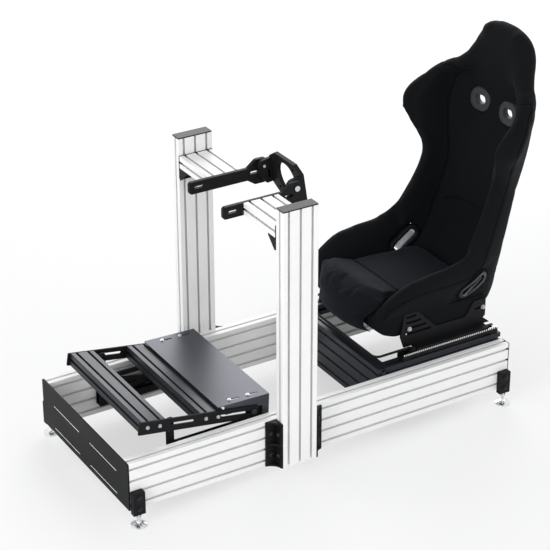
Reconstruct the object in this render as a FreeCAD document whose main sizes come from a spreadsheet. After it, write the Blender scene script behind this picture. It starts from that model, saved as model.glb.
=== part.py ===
"""Sim racing cockpit: slotted aluminium frame, tilting pedal deck, wheel mount and a bucket seat on sliders.

Axes: X across (plus is the driver's left), Y rearwards from the pedals to the seat, Z up from the floor.
Pieces are placed with Y measured from the front plate; at the end all move so that the box is centred.
"""
import math
import os

import FreeCAD
import Part
from FreeCAD import Placement, Rotation, Vector

doc = FreeCAD.newDocument("sim_racing_cockpit")

# Driving sizes in millimetres and degrees; levels are above the rails' underside unless a group says more.
DIMENSIONS = {
    # slotted bar section
    "cell": 40.0, "bar_corner": 1.5, "slot_mouth": 8.2, "slot_lip": 4.5, "slot_cavity": 16.5,
    "slot_shoulder": 8.5, "slot_floor": 9.0, "slot_deep": 12.3,
    # floor frame
    "floor_gap": 52.0, "inside_width": 503.0, "rail_length": 1380.0, "rail_height": 160.0,
    "front_sheet": 5.0, "front_corner": 6.0, "rail_cap": 3.0, "cap_corner": 2.5, "front_cut_inner": 34.0,
    "front_cut_outer": 215.0, "front_cut_width": 3.5, "front_cut_low": 19.0, "front_cut_high": 99.0,
    # levelling feet
    "foot_block_depth": 40.0, "foot_block_height": 78.0, "foot_block_width": 20.0, "foot_block_drop": 11.0,
    "foot_block_corner": 4.0, "foot_disc": 50.0, "foot_rim": 3.0, "foot_cone": 8.0, "foot_neck": 16.0,
    "foot_stud": 10.0, "foot_nut": 17.0, "foot_nut_height": 8.0, "foot_nut_gap": 6.0,
    # uprights and their corner braces
    "upright_front": 506.0, "upright_depth": 120.0, "upright_length": 859.0, "upright_cap": 4.0,
    "brace_leg": 40.0, "brace_height": 156.0, "brace_wall": 5.0, "brace_web": 6.0, "brace_webs": 3.0,
    "brace_bow": 16.8,
    # arms and their angle plates
    "arm_low": 764.0, "arm_end": 108.0, "arm_plate": 5.0, "arm_plate_leg": 40.0, "arm_plate_corner": 6.0,
    "arm_web": 6.0,
    # cheeks at the arm ends
    "cheek_sheet": 12.0, "cheek_nose": 70.0, "cheek_corner": 10.0, "cheek_lap": 13.0, "cheek_drop": 18.0,
    "cheek_belly_front": 24.0, "cheek_belly_rear": 12.0, "cheek_tail": 33.0, "cheek_hole": 8.0,
    "cheek_hole_front": 10.0, "cheek_hole_down": 6.0, "cheek_slot": 9.0, "cheek_nose_slot": 34.0,
    "cheek_rear_slot": 31.0, "cheek_rear_slot_front": 26.0, "cheek_rear_slot_down": 20.0,
    # pivot of the wheel mount, behind the upright and above the arm's underside
    "pivot_back": 64.0, "pivot_rise": 43.0, "pivot_bolt": 10.0, "pivot_fit": 0.3, "pivot_lobe": 21.0,
    "pivot_washer": 21.0, "pivot_head": 18.0, "pivot_head_height": 6.0,
    # ring plate
    "ring_gap": 5.0, "ring_sheet": 13.0, "ring_bore": 104.0, "ring_height": 136.0, "ring_flat": 112.0,
    "ring_chamfer": 22.0, "ring_corner": 5.0, "ring_tilt": 9.0, "ring_back": 26.6, "ring_drop": 21.4,
    "ring_slot": 7.0, "ring_slot_out": 13.0, "ring_slot_length": 12.0, "ear_sheet": 12.0, "ear_corner": 10.0,
    "ear_low": 8.0, "ear_slot": 8.0, "ear_slot_length": 31.0, "ear_slot_down": 9.0,
    # pedal deck
    "deck_tilt": 9.1, "deck_front": 70.5, "deck_top": 254.5, "deck_side_gap": 9.5, "deck_sheet": 5.0,
    "deck_length": 410.0, "deck_height": 42.0, "deck_corner": 3.0, "deck_end_corner": 8.0,
    "deck_bar_front": 8.0, "deck_bar_rear": 206.0, "deck_slot": 9.0, "deck_slot_down": 19.0,
    "deck_slot_front": 104.0, "deck_slot_front_length": 83.0, "deck_slot_rear_end": 12.0,
    "deck_slot_rear_length": 135.0, "deck_pivot_fit": 0.15, "deck_bush": 16.0,
    "deck_pivot_head": 17.0, "deck_pivot_head_height": 5.0,
    # heel plate, before and above the deck's rear end
    "heel_front": 140.3, "heel_rise": 32.3, "heel_length": 179.0, "heel_tilt": 1.9, "heel_sheet": 3.0,
    "heel_skirt": 34.0, "heel_lap": 24.0, "heel_gap": 0.3, "heel_corner": 3.0, "heel_fold_corner": 6.0,
    "heel_slot": 7.0, "heel_slot_length": 40.0, "heel_slot_in": 23.0, "heel_slot_end": 48.0,
    "heel_slot_pitch": 64.0, "heel_leg": 23.0, "heel_leg_down": 70.0, "heel_leg_corner": 4.0,
    # pedal supports
    "support_sheet": 5.0, "support_gap": 10.0, "support_low": 40.0, "support_bar": 24.0, "support_leg": 26.0,
    "support_rear": 31.5, "support_chord_down": 25.0, "support_chord": 18.0, "support_leg_rise": 13.0,
    "support_arm_rise": 16.0, "support_arm_front": 18.0, "support_corner": 10.0, "support_fillet": 6.0,
    "support_flange": 55.0, "support_brace": 16.0, "window_corner": 2.0, "support_slot": 9.0,
    "support_slot_length": 40.0, "support_slot_end": 42.0, "lock_bolt": 8.0, "lock_along": 111.0,
    "lock_clear": 1.0, "tilt_range": 6.0,
    # seat base, before the rails' rear end and above their top
    "seat_bar_front": 480.0, "seat_bar_rise": 24.0, "seat_beam_rear": 4.0, "rear_bar_front": 95.0,
    # sliders
    "slider_back": 95.0, "slider_length": 370.0, "slider_width": 34.0, "slider_height": 14.0,
    "slider_wall": 3.0, "slider_mouth": 16.0, "slider_corner": 1.0, "slider_spacer": 6.0,
    "slider_spacer_length": 30.0, "runner_back": 35.0, "runner_length": 300.0, "runner_foot": 22.0,
    "runner_foot_height": 4.0, "runner_neck": 11.0, "runner_top": 30.0, "runner_top_height": 4.0,
    "runner_clear": 2.0, "runner_fit": 0.3, "lug_sheet": 6.0, "lug_height": 12.0, "lug_depth": 16.0,
    "lug_out": 10.5, "lug_corner": 6.0,
    # slider handle
    "handle_bar": 8.0, "handle_in": 5.5, "handle_reach": 135.0, "handle_bend": 22.0,
    "handle_tight_bend": 6.0, "handle_pivot_back": 8.0, "handle_pivot_up": 5.0, "handle_pin": 20.0,
    # seat brackets, outline behind their front edge and above the runners
    "bracket_in": 25.5, "bracket_out": 14.5, "bracket_sheet": 5.0, "bracket_shelf_back": 20.0,
    "bracket_ahead": 8.0, "bracket_nose": 14.0, "bracket_nose_high": 40.0, "bracket_front_high": 118.0,
    "bracket_front_top": 50.0, "bracket_saddle_start": 123.0, "bracket_saddle_end": 241.0,
    "bracket_saddle_high": 44.0, "bracket_rear_start": 271.0, "bracket_rear_end": 318.0,
    "bracket_rear_high": 92.0, "bracket_notch": 8.0, "bracket_notch_high": 22.0, "bracket_tail": 19.0,
    "bracket_corner": 8.0, "bracket_round": 20.0, "bracket_slot": 8.0, "bracket_slot_front": 6.0,
    "bracket_slot_low": 45.5, "bracket_slot_edge": 12.5, "bracket_slot_margin": 17.0, "bracket_slots": 4.0,
    "bracket_rear_slot": 40.0, "bracket_rear_slot_down": 30.0,
    # seat: flank fit, bolster roll, belt openings and base cushion, from the runners' front and top
    "seat_fit": 0.3, "seat_roll": 62.0, "seat_roll_share": 0.3, "belt_rim": 11.0, "shoulder_out": 73.0,
    "shoulder_up": 648.0, "shoulder_long": 50.0, "shoulder_wide": 30.0, "shoulder_start": 415.0,
    "shoulder_through": 170.0, "lap_back": 247.0, "lap_up": 160.0, "lap_long": 92.0, "lap_wide": 26.0,
    "lap_turn": 36.0, "lap_in": 105.0, "lap_through": 180.0,
    "cushion_in": 29.0, "cushion_ahead": 130.0, "cushion_bow": 48.0, "cushion_low": 35.0,
    "cushion_nose": 174.0, "cushion_crown_ahead": 62.0, "cushion_dip_back": 25.0, "cushion_dip": 150.0,
    "cushion_rear": 305.0, "cushion_rear_up": 138.0, "cushion_floor": 80.0, "cushion_round": 30.0,
    "cushion_low_round": 12.0,
}

sheet = doc.addObject("Spreadsheet::Sheet", "Dimensions")
for row, (alias, value) in enumerate(DIMENSIONS.items(), start=1):
    sheet.set("A%d" % row, str(value))
    sheet.setAlias("A%d" % row, alias)
doc.recompute()

nodes = []


def size(alias):
    """Value of one driving dimension."""
    return float(sheet.get(alias))


def new_body(label):
    """Empty body that becomes one sub-part."""
    body = doc.addObject("PartDesign::Body", label)
    body.Label = label
    nodes.append(body)
    return body


def place(body, x=0.0, y=0.0, z=0.0, turn=0.0):
    """Put a body at its place, turned about X by an angle in degrees."""
    body.Placement = Placement(Vector(x, y, z), Rotation(Vector(1, 0, 0), turn))


def rounded(points):
    """Lines and arcs of a closed outline; a third value on a point rounds that corner."""
    corners = []
    count = len(points)
    for index in range(count):
        here = Vector(points[index][0], points[index][1], 0)
        radius = points[index][2] if len(points[index]) > 2 else 0.0
        if radius <= 0:
            corners.append((here, here, None))
            continue
        before = Vector(points[index - 1][0], points[index - 1][1], 0) - here
        after = Vector(points[(index + 1) % count][0], points[(index + 1) % count][1], 0) - here
        before.normalize()
        after.normalize()
        half = before.getAngle(after) / 2
        reach = radius / math.tan(half)
        middle = before + after
        middle.normalize()
        top = here + middle * (radius / math.sin(half) - radius)
        corners.append((here + before * reach, here + after * reach, top))
    lines = []
    for index in range(count):
        start, end, top = corners[index]
        if top is not None:
            lines.append(Part.Arc(start, top, end))
        following = corners[(index + 1) % count][0]
        if (following - end).Length > 1e-6:
            lines.append(Part.LineSegment(end, following))
    return lines


def slot(u, v, length, width, turn=0.0):
    """Outline of a round-ended slot about its centre, along U turned by an angle."""
    along = Vector(math.cos(math.radians(turn)), math.sin(math.radians(turn)), 0)
    across = Vector(-along.y, along.x, 0)
    middle = Vector(u, v, 0)
    half = (length - width) / 2
    radius = width / 2
    rear, front = middle - along * half, middle + along * half
    return [
        Part.LineSegment(rear - across * radius, front - across * radius),
        Part.Arc(front - across * radius, front + along * radius, front + across * radius),
        Part.LineSegment(front + across * radius, rear + across * radius),
        Part.Arc(rear + across * radius, rear - along * radius, rear - across * radius),
    ]


def circle(u, v, diameter):
    """Outline of a round hole."""
    return [Part.Circle(Vector(u, v, 0), Vector(0, 0, 1), diameter / 2)]


def slotted(width, height):
    """Outline of a slotted bar: a T-slot in the middle of every cell side, centred on the origin."""
    mouth, cavity, floor = size("slot_mouth") / 2, size("slot_cavity") / 2, size("slot_floor") / 2
    lip, shoulder, deep = size("slot_lip"), size("slot_shoulder"), size("slot_deep")
    groove = [(-mouth, 0), (-mouth, lip), (-cavity, lip), (-cavity, shoulder), (-floor, deep),
              (floor, deep), (cavity, shoulder), (cavity, lip), (mouth, lip), (mouth, 0)]
    faces = (((-width / 2, -height / 2), (1, 0), width), ((width / 2, -height / 2), (0, 1), height),
             ((width / 2, height / 2), (-1, 0), width), ((-width / 2, height / 2), (0, -1), height))
    points = []
    for (start_u, start_v), (along_u, along_v), length in faces:
        points.append((start_u, start_v, size("bar_corner")))
        cells = max(1, round(length / size("cell")))
        for index in range(cells):
            middle = (index + 0.5) * length / cells
            for along, inward in groove:
                reach = middle + along
                points.append((start_u + along_u * reach - along_v * inward,
                               start_v + along_v * reach + along_u * inward))
    return rounded(points)


def sketch_on(body, role, outlines, offset=0.0):
    """Sketch with closed outlines on one of the body's own planes."""
    sketch = body.newObject("Sketcher::SketchObject", body.Name + "_outline")
    plane = [feature for feature in body.Origin.OriginFeatures if feature.Role == role][0]
    sketch.AttachmentSupport = [(plane, "")]
    sketch.MapMode = "FlatFace"
    sketch.AttachmentOffset = Placement(Vector(0, 0, offset), Rotation())
    for outline in outlines:
        sketch.addGeometry(outline, False)
    return sketch


def pad(body, role, outlines, length, backwards=False, offset=0.0):
    """Pad of one sketch; the length is an expression on the sheet's aliases."""
    feature = body.newObject("PartDesign::Pad", body.Name + "_pad")
    feature.Profile = sketch_on(body, role, outlines, offset)
    feature.Reversed = backwards
    words = ["Dimensions." + word if word in DIMENSIONS else word for word in length.split()]
    feature.setExpression("Length", " ".join(words))


def revolve(body, points):
    """Turned piece: half outline in XZ about the upright axis."""
    sketch = sketch_on(body, "XZ_Plane", [rounded(points)])
    feature = body.newObject("PartDesign::Revolution", body.Name + "_turn")
    feature.Profile = sketch
    feature.ReferenceAxis = (sketch, ["V_Axis"])
    feature.Angle = 360


def sides():
    """Names and signs of the two sides of the cockpit."""
    return (("left", 1), ("right", -1))


# Places that several pieces share
ground = size("floor_gap")
rail_inner = size("inside_width") / 2
rail_outer = rail_inner + size("cell")
rail_start = size("front_sheet")
rail_end = rail_start + size("rail_length")
deck_half = rail_inner - size("deck_side_gap")
support_outer = deck_half - size("deck_sheet") - size("support_gap")
seat_bar_top = size("rail_height") + size("seat_bar_rise")
seat_bar_front = rail_end - size("seat_bar_front")
slider_front = seat_bar_front + size("slider_back")
slider_level = seat_bar_top + size("slider_spacer")
slider_middle = rail_inner - size("cell") / 2
runner_front = slider_front + size("runner_back")
runner_top = slider_level + size("slider_height") + size("runner_clear") + size("runner_top_height")
bracket_inner = slider_middle - size("bracket_in")
seat_half = bracket_inner - size("seat_fit")


def floor_frame():
    """Two long slotted rails, the sheet across their front ends and the rear end caps."""
    cell, height = size("cell"), size("rail_height")
    half, tall, corner = cell / 2, height / 2, size("cap_corner")
    for side, sign in sides():
        middle = sign * (rail_inner + half)
        rail = new_body(side + "_rail")
        pad(rail, "XZ_Plane", [slotted(cell, height)], "rail_length", backwards=True)
        place(rail, middle, rail_start, ground + tall)
        cap = new_body(side + "_rail_cap")
        outline = [(-half, -tall, corner), (half, -tall, corner),
                   (half, tall, corner), (-half, tall, corner)]
        pad(cap, "XZ_Plane", [rounded(outline)], "rail_cap", backwards=True)
        place(cap, middle, rail_end, ground + tall)
    plate = new_body("front_plate")
    corner = size("front_corner")
    outlines = [rounded([(-rail_outer, 0), (rail_outer, 0), (rail_outer, height, corner),
                         (-rail_outer, height, corner)])]
    inner, outer = size("front_cut_inner"), size("front_cut_outer")
    for level in (size("front_cut_low"), size("front_cut_high")):
        for sign in (1, -1):
            outlines.append(slot(sign * (inner + outer) / 2, level, outer - inner, size("front_cut_width")))
    pad(plate, "XZ_Plane", outlines, "front_sheet", backwards=True)
    place(plate, 0, 0, ground)


def feet():
    """Blocks on the rails' outer faces, each on a levelling foot with a stud and lock nut."""
    depth, height, width = size("foot_block_depth"), size("foot_block_height"), size("foot_block_width")
    under, block_corner = ground - size("foot_block_drop"), size("foot_block_corner")
    disc, neck, stud = size("foot_disc") / 2, size("foot_neck") / 2, size("foot_stud") / 2
    rim, cone = size("foot_rim"), size("foot_rim") + size("foot_cone")
    nut, nut_low = size("foot_nut") / 2, under - size("foot_nut_height") - size("foot_nut_gap")
    turned = [(0, 0), (disc, 0), (disc, rim), (neck, cone), (stud, cone), (stud, under), (0, under)]
    turns = [math.radians(60 * corner) for corner in range(6)]
    hexagon = [(nut * math.cos(turn), nut * math.sin(turn)) for turn in turns]
    half = depth / 2
    outline = [(-half, 0), (half, 0), (half, height, block_corner), (-half, height, block_corner)]
    for side, sign in sides():
        for end, middle in (("front", rail_start + half), ("rear", rail_end - half)):
            carrier = new_body("%s_%s_foot_block" % (side, end))
            pad(carrier, "YZ_Plane", [rounded(outline)], "foot_block_width", backwards=sign < 0)
            place(carrier, sign * rail_outer, middle, under)
            foot = new_body("%s_%s_foot" % (side, end))
            revolve(foot, turned)
            pad(foot, "XY_Plane", [rounded(hexagon)], "foot_nut_height", offset=nut_low)
            place(foot, sign * (rail_outer + width / 2), middle, 0)


def uprights():
    """Slotted posts bolted to the rails' outer faces, their caps and the ribbed corner braces."""
    cell, depth, front = size("cell"), size("upright_depth"), size("upright_front")
    leg, wall, bow = size("brace_leg"), size("brace_wall"), size("brace_bow")
    half, deep, corner = cell / 2, depth / 2, size("cap_corner")
    webs = round(size("brace_webs"))
    pitch = (size("brace_height") - size("brace_web")) / (webs - 1)
    for side, sign in sides():
        middle = sign * (rail_outer + half)
        post = new_body(side + "_upright")
        pad(post, "XY_Plane", [slotted(cell, depth)], "upright_length")
        place(post, middle, front + deep, ground)
        cap = new_body(side + "_upright_cap")
        outline = [(-half, -deep, corner), (half, -deep, corner),
                   (half, deep, corner), (-half, deep, corner)]
        pad(cap, "XY_Plane", [rounded(outline)], "upright_cap")
        place(cap, middle, front + deep, ground + size("upright_length"))
        for end, face, away in (("front", front, -1), ("rear", front + depth, 1)):
            brace = new_body("%s_%s_brace" % (side, end))
            root, tip, toe = Vector(0, 0, 0), Vector(sign * leg, 0, 0), Vector(0, away * leg, 0)
            tip_in, toe_in = Vector(sign * leg, away * wall, 0), Vector(sign * wall, away * leg, 0)
            inside = Vector(sign * wall, away * wall, 0)
            angle = [root, tip, tip_in, inside, toe_in, toe]
            pad(brace, "XY_Plane", [rounded([(point.x, point.y) for point in angle])], "brace_height")
            rib = [
                Part.LineSegment(root, tip),
                Part.LineSegment(tip, tip_in),
                Part.Arc(tip_in, Vector(sign * bow, away * bow, 0), toe_in),
                Part.LineSegment(toe_in, toe),
                Part.LineSegment(toe, root),
            ]
            for index in range(webs):
                pad(brace, "XY_Plane", [rib], "brace_web", offset=index * pitch)
            place(brace, sign * rail_outer, face, ground)


def arms():
    """Slotted arms between the posts and the wheel mount, on angle plates with gussets below."""
    cell, depth, front = size("cell"), size("upright_depth"), size("upright_front")
    plate, leg, web = size("arm_plate"), size("arm_plate_leg"), size("arm_web")
    low, corner = ground + size("arm_low"), size("arm_plate_corner")
    for side, sign in sides():
        outer = sign * (rail_outer - plate)
        arm = new_body(side + "_arm")
        pad(arm, "YZ_Plane", [slotted(depth, cell)], "inside_width / 2 + cell - arm_plate - arm_end",
            backwards=sign > 0)
        place(arm, outer, front + depth / 2, low + cell / 2)
        angle = new_body(side + "_arm_bracket")
        wall = [(0, -leg, corner), (depth, -leg, corner), (depth, cell), (0, cell)]
        pad(angle, "YZ_Plane", [rounded(wall)], "arm_plate", backwards=sign < 0)
        shelf = [(0, -plate), (0, 0), (-sign * leg, 0), (-sign * leg, -plate)]
        pad(angle, "XZ_Plane", [rounded(shelf)], "upright_depth", backwards=True)
        gusset = [(0, 0), (-sign * leg, 0), (-sign * leg, -plate), (-sign * plate, -leg), (0, -leg)]
        for start in (0, (depth - web) / 2, depth - web):
            pad(angle, "XZ_Plane", [rounded(gusset)], "arm_web", backwards=True, offset=-start)
        place(angle, outer, front, low)


def wheel_mount():
    """Fixed cheeks at the arm ends and the tilting ring plate that a wheel base bolts to."""
    depth, cell, lobe = size("upright_depth"), size("cell"), size("pivot_lobe")
    reach, rise = depth + size("pivot_back"), size("pivot_rise")
    pivot_y, pivot_z = size("upright_front") + reach, ground + size("arm_low") + rise
    bolt, fit = size("pivot_bolt"), size("pivot_fit")
    nose, corner, drop, lap = size("cheek_nose"), size("cheek_corner"), size("cheek_drop"), size("cheek_lap")
    cheek_outline = [
        (-nose, 0, corner), (depth + lap, 0, corner), (reach - size("cheek_belly_front"), -drop, corner),
        (reach + size("cheek_belly_rear"), -drop, corner), (reach + size("cheek_tail"), 0, corner),
        (reach + lobe, rise + lobe, lobe - fit), (reach - lobe, rise + lobe, lobe - fit),
        (depth + lap, cell, corner), (-nose, cell, corner)]
    cheek_holes = [
        slot(-nose / 2, cell / 2, size("cheek_nose_slot"), size("cheek_slot")),
        slot(reach - size("cheek_rear_slot_front"), rise - size("cheek_rear_slot_down"),
             size("cheek_rear_slot"), size("cheek_slot")),
        circle(reach - size("cheek_hole_front"), -size("cheek_hole_down"), size("cheek_hole")),
        circle(reach, rise, bolt + 2 * fit)]
    inner = size("arm_end") - size("cheek_sheet")
    wide = inner - size("ring_gap")
    for side, sign in sides():
        cheek = new_body(side + "_cheek")
        pad(cheek, "YZ_Plane", [rounded(cheek_outline)] + cheek_holes, "cheek_sheet", backwards=sign > 0)
        place(cheek, sign * size("arm_end"), size("upright_front"), ground + size("arm_low"))
        pin = new_body(side + "_pivot_bolt")
        lengths = (
            (bolt, wide - size("ear_sheet"), "ear_sheet + ring_gap + cheek_sheet + pivot_fit"),
            (size("pivot_washer"), wide, "ring_gap - pivot_fit"),
            (size("pivot_head"), size("arm_end") + fit, "pivot_head_height"))
        for diameter, start, length in lengths:
            pad(pin, "YZ_Plane", [circle(0, 0, diameter)], length, backwards=sign < 0, offset=sign * start)
        place(pin, 0, pivot_y, pivot_z)
    ring = new_body("ring_plate")
    back, down, corner = size("ring_back"), size("ring_drop"), size("ring_corner")
    flat, tall = size("ring_flat") / 2, size("ring_height") / 2
    chamfer = tall - size("ring_chamfer")
    outline = [(-flat, -tall - down, corner), (flat, -tall - down, corner), (wide, -chamfer - down, corner),
               (wide, chamfer - down, corner), (flat, tall - down, corner), (-flat, tall - down, corner),
               (-wide, chamfer - down, corner), (-wide, -chamfer - down, corner)]
    holes = [circle(0, -down, size("ring_bore"))]
    around = size("ring_bore") / 2 + size("ring_slot_out")
    for turn in (45, 135, 225, 315):
        out, up = around * math.cos(math.radians(turn)), around * math.sin(math.radians(turn))
        holes.append(slot(out, up - down, size("ring_slot_length"), size("ring_slot"), turn))
    pad(ring, "XZ_Plane", [rounded(outline)] + holes, "ring_sheet", backwards=True, offset=-back)
    rear, low, curve = back + size("ring_sheet"), size("ear_low") - chamfer - down, size("ear_corner")
    ear = [(rear, lobe, corner), (-lobe, lobe, lobe - fit), (-lobe, -lobe, curve), (0, low, curve),
           (rear, low, corner)]
    ear_slot_up = -lobe - size("ear_slot_down")
    ears = [rounded(ear), circle(0, 0, bolt + fit),
            slot(back / 2, ear_slot_up, size("ear_slot_length"), size("ear_slot"), 90)]
    for sign in (1, -1):
        pad(ring, "YZ_Plane", ears, "ear_sheet", backwards=sign > 0, offset=sign * wide)
    place(ring, 0, pivot_y, pivot_z, size("ring_tilt"))


def deck_point(along, up):
    """Place in Y and Z, above the rails' underside, of a point on the tilted deck."""
    turn = math.radians(size("deck_tilt"))
    return (size("deck_front") + along * math.cos(turn) + up * math.sin(turn),
            size("deck_top") - along * math.sin(turn) + up * math.cos(turn))


def deck_pivot():
    """Place of the deck's pivot bolts, in the rear ends of its slots."""
    end = size("deck_length") - size("deck_slot_rear_end") - size("deck_slot") / 2
    return deck_point(end, -size("deck_slot_down"))


def pedal_deck():
    """Tilting deck: two slotted bars between slotted side plates, a folded heel plate and pivot bolts."""
    tilt, down, cell = size("deck_tilt"), size("deck_slot_down"), size("cell")
    bolt = size("deck_slot") - 2 * size("deck_pivot_fit")
    long, tall, fit = size("deck_length"), size("deck_height"), size("pivot_fit")
    for name, start in (("front", size("deck_bar_front")), ("rear", size("deck_bar_rear"))):
        bar = new_body("deck_%s_bar" % name)
        pad(bar, "YZ_Plane", [slotted(2 * cell, cell)], "inside_width - 2 * ( deck_side_gap + deck_sheet )")
        y, z = deck_point(start + cell, -cell / 2)
        place(bar, size("deck_sheet") - deck_half, y, ground + z, -tilt)
    front_corner, end_corner = size("deck_corner"), size("deck_end_corner")
    outline = [(0, 0, front_corner), (0, -tall, front_corner), (long, -tall, end_corner),
               (long, 0, end_corner)]
    holes = []
    front_length, rear_length = size("deck_slot_front_length"), size("deck_slot_rear_length")
    for middle, length in ((size("deck_slot_front") + front_length / 2, front_length),
                           (long - size("deck_slot_rear_end") - rear_length / 2, rear_length)):
        holes.append(slot(middle, -down, length, size("deck_slot")))
    pivot_y, pivot_z = deck_pivot()
    for side, sign in sides():
        plate = new_body(side + "_deck_plate")
        pad(plate, "YZ_Plane", [rounded(outline)] + holes, "deck_sheet", backwards=sign > 0)
        place(plate, sign * deck_half, size("deck_front"), ground + size("deck_top"), -tilt)
        pin = new_body(side + "_deck_pivot")
        lengths = (
            (bolt, support_outer - size("support_sheet"),
             "support_sheet + support_gap + deck_sheet + pivot_fit"),
            (size("deck_bush"), support_outer + fit, "support_gap - pivot_fit"),
            (size("deck_pivot_head"), deck_half, "deck_pivot_head_height"))
        for diameter, start, length in lengths:
            pad(pin, "YZ_Plane", [circle(0, 0, diameter)], length, backwards=sign < 0, offset=sign * start)
        place(pin, 0, pivot_y, ground + pivot_z)
    heel = new_body("heel_plate")
    wide = deck_half - size("deck_sheet") - size("heel_gap")
    deep, lap, skirt, corner = size("heel_length"), size("heel_lap"), size("heel_skirt"), size("heel_corner")
    top = [(-wide, 0, corner), (wide, 0, corner), (wide, deep, corner), (-wide, deep, corner)]
    out, rear_slot = wide - size("heel_slot_in"), deep - size("heel_slot_end")
    holes = [slot(sign * out, middle, size("heel_slot_length"), size("heel_slot"), 90)
             for sign in (1, -1) for middle in (rear_slot - size("heel_slot_pitch"), rear_slot)]
    pad(heel, "XY_Plane", [rounded(top)] + holes, "heel_sheet", backwards=True)
    fold_corner, leg_corner = size("heel_fold_corner"), size("heel_leg_corner")
    leg, leg_low = deep - size("heel_leg"), -size("heel_leg_down")
    fold = [(lap, 0), (deep, 0), (deep, leg_low, leg_corner), (leg, leg_low, leg_corner),
            (leg, -skirt, fold_corner), (lap, -skirt, fold_corner)]
    for sign in (1, -1):
        pad(heel, "YZ_Plane", [rounded(fold)], "heel_sheet", backwards=sign > 0, offset=sign * wide)
    rear_y, rear_z = deck_point(long, 0)
    place(heel, 0, rear_y - size("heel_front"), ground + rear_z + size("heel_rise"), -size("heel_tilt"))


def pedal_supports():
    """Cross-braced supports of bent sheet on the rails' inner faces, with an arc slot for the lock bolt."""
    wall, low, leg = size("support_sheet"), size("support_low"), size("support_leg")
    pivot_y, pivot_z = deck_pivot()
    lock_y, lock_z = deck_point(size("lock_along"), -size("deck_slot_down"))
    front, rear = lock_y - leg / 2, pivot_y + size("support_rear")
    chord, arm_front = pivot_z - size("support_chord_down"), pivot_y - size("support_arm_front")
    arm_top, leg_top = pivot_z + size("support_arm_rise"), lock_z + size("support_leg_rise")
    corner, fillet = size("support_corner"), size("support_fillet")
    outline = [(front, low), (front, leg_top, corner), (front + leg, leg_top, corner),
               (front + leg, chord, fillet), (arm_front, chord, fillet), (arm_front, arm_top, corner),
               (rear + leg, arm_top, corner), (rear + leg, low)]
    left, right = front + leg, rear
    under, over = low + size("support_bar"), chord - size("support_chord")
    slope = math.atan2(over - under, right - left)
    half, small = size("support_brace") / 2, size("window_corner")
    along, across = half / math.sin(slope), half / math.cos(slope)
    middle, level = (left + right) / 2, (under + over) / 2
    windows = [
        [(left + along, over, small), (right - along, over, small), (middle, level + across, small)],
        [(left + along, under, small), (right - along, under, small), (middle, level - across, small)],
        [(left, under + across, small), (left, over - across, small), (middle - along, level, small)],
        [(right, under + across, small), (right, over - across, small), (middle + along, level, small)],
    ]
    radius = math.hypot(lock_y - pivot_y, lock_z - pivot_z)
    start = math.atan2(lock_z - pivot_z, lock_y - pivot_y)
    finish = start + math.radians(size("tilt_range"))
    clear = size("lock_bolt") / 2 + size("lock_clear")

    def around(distance, angle):
        return Vector(pivot_y + distance * math.cos(angle), pivot_z + distance * math.sin(angle), 0)

    halfway, past = (start + finish) / 2, clear / radius
    outside, inside = radius + clear, radius - clear
    arc_slot = [
        Part.Arc(around(outside, start), around(outside, halfway), around(outside, finish)),
        Part.Arc(around(outside, finish), around(radius, finish + past), around(inside, finish)),
        Part.Arc(around(inside, finish), around(inside, halfway), around(inside, start)),
        Part.Arc(around(inside, start), around(radius, start - past), around(outside, start)),
    ]
    hole = circle(pivot_y, pivot_z, size("deck_slot"))
    foot = [(front, low), (rear + leg, low), (rear + leg, low + wall), (front, low + wall)]
    lip_top = low + size("support_flange")
    lip = [(front, low), (rear + leg, low), (rear + leg, lip_top, corner), (front, lip_top, corner)]
    groove = 1.5 * size("cell")
    end, inset = rear + leg, size("support_slot_end")
    cuts = [slot(middle, groove, size("support_slot_length"), size("support_slot"))
            for middle in (front + inset, (front + end) / 2, end - inset)]
    for side, sign in sides():
        support = new_body(side + "_pedal_support")
        cuts_through = [arc_slot, hole] + [rounded(window) for window in windows]
        pad(support, "YZ_Plane", [rounded(outline)] + cuts_through, "support_sheet", backwards=sign > 0,
            offset=sign * support_outer)
        pad(support, "YZ_Plane", [rounded(foot)], "deck_side_gap + deck_sheet + support_gap + support_sheet",
            backwards=sign > 0, offset=sign * rail_inner)
        pad(support, "YZ_Plane", [rounded(lip)] + cuts, "support_sheet", backwards=sign > 0,
            offset=sign * rail_inner)
        place(support, 0, 0, ground)


def seat_base():
    """Black slotted bars between the rails that carry the seat sliders."""
    cell, tall = size("cell"), size("rail_height")
    cross = new_body("seat_front_bar")
    pad(cross, "YZ_Plane", [slotted(cell, tall)], "inside_width")
    place(cross, -rail_inner, seat_bar_front + cell / 2, ground + seat_bar_top - tall / 2)
    for side, sign in sides():
        beam = new_body(side + "_seat_bar")
        pad(beam, "XZ_Plane", [slotted(cell, cell)], "seat_bar_front - seat_beam_rear - cell",
            backwards=True)
        place(beam, sign * slider_middle, seat_bar_front + cell, ground + seat_bar_top - cell / 2)
    cross = new_body("seat_rear_bar")
    pad(cross, "YZ_Plane", [slotted(2 * cell, cell)], "inside_width - 2 * cell")
    rear = rail_end - size("rear_bar_front")
    place(cross, cell - rail_inner, rear + cell, ground + seat_bar_top - cell / 2)


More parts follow.
